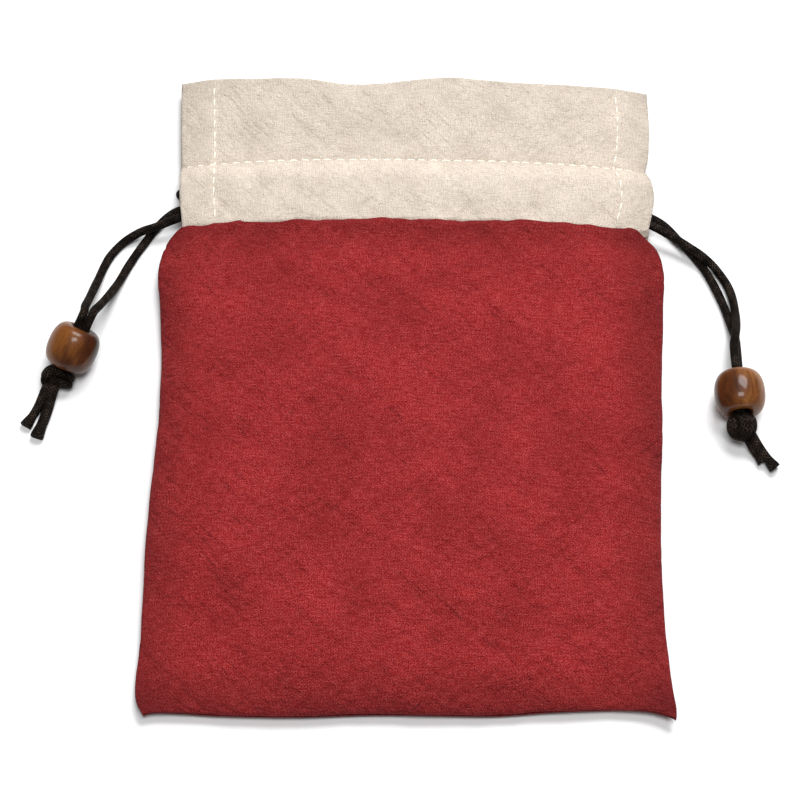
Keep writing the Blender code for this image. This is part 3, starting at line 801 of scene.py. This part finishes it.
def stitches(name, surface, start, end, side, material, upright_at=None):
    """A row of short threads on a band, each a thin tube that rises out of the cloth and dips back into it.

    A level row runs from start to end across the pouch at the channel's top, and an upright one runs up it at
    upright_at.
    """
    low, high = band_edges(np.array([(SEAM + MOUTH) / 2, (SEAM + MOUTH) / 2 + 0.1]))
    half, centre = (high[0] - low[0]) / 2, (high[0] + low[0]) / 2

    def point(at, beside):
        if upright_at is None:
            return surface((at - centre) / half, CHANNEL_TOP + beside, side)
        return surface((upright_at + beside - centre) / half, at, side)

    count = int((end - start) / STITCH)
    begin = start + (np.arange(count) + 0.08 * np.random.default_rng(9).uniform(-1, 1, count)) * STITCH
    t = np.linspace(0, 1, 9)
    at = begin[:, None] + (0.1 + 0.8 * t) * STITCH
    lean = 0.22 * (t - 0.5) + 0 * at
    place = point(at, lean)
    beside = point(at, lean + 0.25) - point(at, lean - 0.25)
    tangent = np.gradient(place, axis=1)
    up = np.cross(tangent, beside)
    up *= np.sign(up[..., 2:]) * side
    beside = np.cross(up, tangent)
    beside /= np.linalg.norm(beside, axis=2, keepdims=True)
    up /= np.linalg.norm(up, axis=2, keepdims=True)
    rise = LINEN_THICKNESS / 2 + THREAD * (1.7 * np.sin(np.pi * t) ** 0.6 - 1.0)
    centre_line = place + up * rise[None, :, None]
    angle = np.linspace(0, 2 * np.pi, 7, endpoint=False)
    fat = THREAD * np.sqrt(np.clip(1.02 - (2 * t - 1) ** 4, 0.02, 1))
    ring = beside[:, :, None] * np.cos(angle)[:, None] + up[:, :, None] * np.sin(angle)[:, None]
    points = centre_line[:, :, None] + ring * fat[None, :, None, None]
    points[..., 2] = np.maximum(points[..., 2], 0.01)  # pressed flat on the table
    quads = grid_quads(len(t), 7, closed=True)[None] + (np.arange(count) * 7 * len(t))[:, None, None]
    return make_mesh(name, points.reshape(-1, 3), quads.reshape(-1, 4), material)


# Cords and beads


def strand_route(side, which):
    """The route's listed points, then the straight stretch through the bead to the knot."""
    facts = SIDES[side]
    centre = middle(f"{side}_bead")
    offset = facts["spread"] * STRAND_OFFSET * (-1 if which == "front" else 1)
    far = [centre + offset + facts["axis"] * s for s in (BEAD_HALF + facts["straight"], 0, -BEAD_HALF - 0.6)]
    return [*facts[which], *far]


def cord_piece(name, path, radius, material):
    """A round cord along a path."""
    points, quads, uv = cord_tube(path, radius)
    return make_mesh(name, points, quads, material, uv)


def knot_piece(side, material):
    """Two cords side by side along the knot's path, round a core that fills what the eye can't see into."""
    axis = SIDES[side]["axis"]
    across = unit(*np.cross(axis, (0, 0, 1)))
    basis = np.array([across, axis, np.cross(across, axis)])
    centre = middle(f"{side}_knot") + KNOT_SHIFT[side]
    core = smooth_path(KNOTS[side], 0.3)
    tangent = np.gradient(core, axis=0)
    lay = np.cross(tangent, core * (1, 1, 1.3))
    for _ in range(14):
        lay /= np.linalg.norm(lay, axis=1, keepdims=True)
        lay[1:-1] = (lay[:-2] + lay[1:-1] + lay[2:]) / 3
    lay /= np.linalg.norm(lay, axis=1, keepdims=True)
    parts = []
    for shift in (-0.85, 0.85):
        path = centre + (core + lay * shift) @ basis
        path[:, 2] = np.maximum(path[:, 2], 1.2)
        parts.append(cord_tube(path, 1.15))
    stub = centre + np.array([(-1.6, -0.2, 0), (0, -0.3, 0), (1.6, -0.2, 0)]) @ basis
    parts.append(cord_tube(smooth_path(stub, 0.3), 1.9))
    points, quads, uv = join_arrays(parts)
    return make_mesh(f"{side}_tied_knot", points, quads, material, uv)


def tail_piece(name, route, material, seed, thick):
    """A tail end: the braid swells towards its cut end, whose points are scattered a little as a fray."""
    first = np.array(route[0]) + (np.array(route[0]) - np.array(route[1])) * 0.28
    path = smooth_path([tuple(first), *route], 0.22)
    share = np.linspace(0, 1, len(path))
    radius = thick + 0.1 * np.sin(6 * share) * share + 0.4 * smoothstep(share, 0.72, 1.0)
    points, quads, uv = cord_tube(path, radius, around=30)
    distance = np.linalg.norm(points - path[-1], axis=1)
    rough = np.clip(1 - distance / 2.2, 0, 1)[:, None]
    points = points + np.random.default_rng(seed).normal(0, 0.07, points.shape) * rough
    points[:, 2] = np.maximum(points[:, 2], 0.03)
    return make_mesh(name, points, quads, material, uv)


def bead_piece(side, material):
    """A barrel turned round its bore: a squared-off half circle in section, between two rounded lips."""
    facts = SIDES[side]
    axis = facts["axis"]
    sweep = np.linspace(-np.pi / 2, np.pi / 2, 61)
    along = BEAD_HALF * np.sign(sweep) * np.abs(np.sin(sweep)) ** 0.88
    outer = BORE + LIP + (BEAD_RADIUS - BORE - LIP) * np.cos(sweep).clip(0, 1) ** 0.78
    turn = np.linspace(0, np.pi / 2, 7)
    lip_r, lip_h = BORE + LIP * (1 - np.sin(turn)), BEAD_HALF - LIP * (1 - np.cos(turn))
    bore = np.linspace(BEAD_HALF - LIP, LIP - BEAD_HALF, 14)
    radius = np.concatenate([outer, lip_r, np.full(12, BORE), lip_r[::-1], outer[:1]])
    height = np.concatenate([along, lip_h, bore[1:-1], -lip_h[::-1], along[:1]])
    angle = np.linspace(0, 2 * np.pi, 96, endpoint=False)
    across = unit(*np.cross(axis, (0, 0, 1)))
    out = np.cross(across, axis)
    ring = across * np.cos(angle)[:, None] + out * np.sin(angle)[:, None]
    points = middle(f"{side}_bead") + ring[None] * radius[:, None, None] + axis * height[:, None, None]
    quads = grid_quads(len(radius), 96, closed=True)
    piece = make_mesh(f"{side}_wooden_bead", points.reshape(-1, 3), quads, material)
    close_and_face_outwards(piece)
    return piece


def close_and_face_outwards(piece):
    """Merges repeated points and turns every face outwards."""
    bm = bmesh.new()
    bm.from_mesh(piece.data)
    bmesh.ops.remove_doubles(bm, verts=bm.verts, dist=1e-7)
    bmesh.ops.recalc_face_normals(bm, faces=bm.faces)
    bm.to_mesh(piece.data)
    bm.free()


# Assembly


def make_cloth(red, linen, thread):
    """The two red panels and the two linen bands, with their stitches."""
    front = cloth_piece("front_red_panel", front_panel_grid(), RED_THICKNESS, red)
    back = cloth_piece("back_red_panel", back_panel_grid(), RED_THICKNESS, red)
    for piece, node in ((front, "front_panel"), (back, "back_panel")):
        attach(piece, "pouch")
        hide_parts(node)
    for side, surface, sizes, up in (
        ("front", front_band_surface, (200, 58, 56, 1.6), 1),
        ("back", back_band_surface, (150, 40, 40, 0), -1),
    ):
        band = cloth_piece(f"{side}_linen_band", band_grid(surface, *sizes), LINEN_THICKNESS, linen)
        rows = [stitches(f"{side}_channel_stitches", surface, *CHANNEL_LINE, up, thread)]
        for edge, at in (("left", LEFT_HEM), ("right", RIGHT_HEM)):
            name = f"{side}_{edge}_hem_stitches"
            rows.append(stitches(name, surface, SEAM + 0.6, MOUTH - 0.6, up, thread, upright_at=at))
        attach(band, "pouch")
        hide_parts(f"{side}_band")
        for row in rows:
            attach(row, "pouch")


def make_cords(cord, woods):
    """Each side's cord, in a run, a knot, two tails and two free strands, and its bead."""
    for side, facts in SIDES.items():
        route = np.array(facts["run"])
        # Inside the front channel the cord lies lower than the list says
        route[:, 2] -= 0.7 * smoothstep(-np.abs(route[:, 0]), -59, -50) * (route[:, 2] > 4)
        run = cord_piece(f"{side}_cord_in_channels", smooth_path(route, 0.4), CORD / 2 - 0.06, cord)
        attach(run, "pouch")
        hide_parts(f"{side}_cord_run")
        knot = knot_piece(side, cord)
        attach(knot, "pouch")
        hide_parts(f"{side}_knot")
        for seed, (name, route) in enumerate(facts["tails"].items()):
            tail = tail_piece(name.replace("tail", "cut_tail"), route, cord, seed, TAIL_RADIUS[name])
            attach(tail, "pouch")
            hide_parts(name)
        bead = bead_piece(side, woods[side])
        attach(bead, f"{side}_bead")
        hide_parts(f"{side}_bead")
        for which in ("front", "back"):
            path = smooth_path(strand_route(side, which), 0.3)
            strand = cord_piece(f"{side}_{which}_strand", path, LOOSE_CORD / 2 - 0.04, cord)
            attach(strand, "pouch")
            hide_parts(f"{side}_strand_{which}")


def make_camera():
    """Looks at the pouch from beyond its bottom edge, 64 degrees above the table and 0.77 m away."""
    data = bpy.data.cameras.new("camera")
    data.lens, data.sensor_width = 135.3, 36
    data.clip_start, data.clip_end = 0.05, 10
    camera = bpy.data.objects.new("camera", data)
    bpy.context.scene.collection.objects.link(camera)
    target = Vector((-2.47, -3.65, 4.0)) * MM
    azimuth, elevation, distance = np.radians(0.665), np.radians(64), 0.77
    back = Vector((
        np.sin(azimuth) * np.cos(elevation), -np.cos(azimuth) * np.cos(elevation), np.sin(elevation),
    ))
    camera.location = target + back * distance
    camera.rotation_euler = back.to_track_quat("Z", "Y").to_euler()
    bpy.context.scene.camera = camera


def make_floor():
    """A plain pale floor, just under the pouch."""
    half, below = 3.0 / MM, -0.02
    corners = [(-half, -half, below), (half, -half, below), (half, half, below), (-half, half, below)]
    material, _, shader = start_material("pale_floor", 0.8, 0.1)
    shader.inputs["Base Color"].default_value = (0.88, 0.88, 0.885, 1)
    make_mesh("floor", np.array(corners), [[0, 1, 2, 3]], material)


def make_light(name, place, size, power):
    """A white softbox that faces the pouch."""
    data = bpy.data.lights.new(name, "AREA")
    data.shape, data.size, data.size_y = "RECTANGLE", *size
    data.energy = power
    light = bpy.data.objects.new(name, data)
    light.location = place
    light.rotation_euler = Vector(place).to_track_quat("Z", "Y").to_euler()
    bpy.context.scene.collection.objects.link(light)


def make_lights():
    """A dim white room and two softboxes: a stronger one past the mouth, and one over the bottom seam."""
    scene = bpy.context.scene
    scene.view_settings.view_transform = "Standard"
    world = bpy.data.worlds.new("white_room")
    world.use_nodes = True
    world.node_tree.nodes["Background"].inputs["Color"].default_value = (1, 1, 1, 1)
    world.node_tree.nodes["Background"].inputs["Strength"].default_value = 0.2
    scene.world = world
    make_light("softbox_back", (0.3, 0.7, 1.2), (0.8, 0.6), 20)
    make_light("softbox_front", (0.03, -0.22, 1.4), (0.6, 0.42), 10.5)


def make_woods():
    """Each side's lacquered wood, with the grain along its bead's bore."""
    woods = {}
    for side, (stops, seed, paler) in BEAD_STAIN.items():
        facing = Vector(SIDES[side]["axis"]).to_track_quat("Z", "Y").to_euler()
        woods[side] = lacquered_wood(f"{side}_bead_wood", middle(f"{side}_bead"), facing, stops, seed, paler)
    return woods


make_camera()
woods = make_woods()
weave, crepe = weave_group(), crepe_group()
make_cords(braided_cord(), woods)
make_cloth(red_cotton(weave, crepe), natural_linen(weave, crepe), sewing_thread())
make_floor()
make_lights()
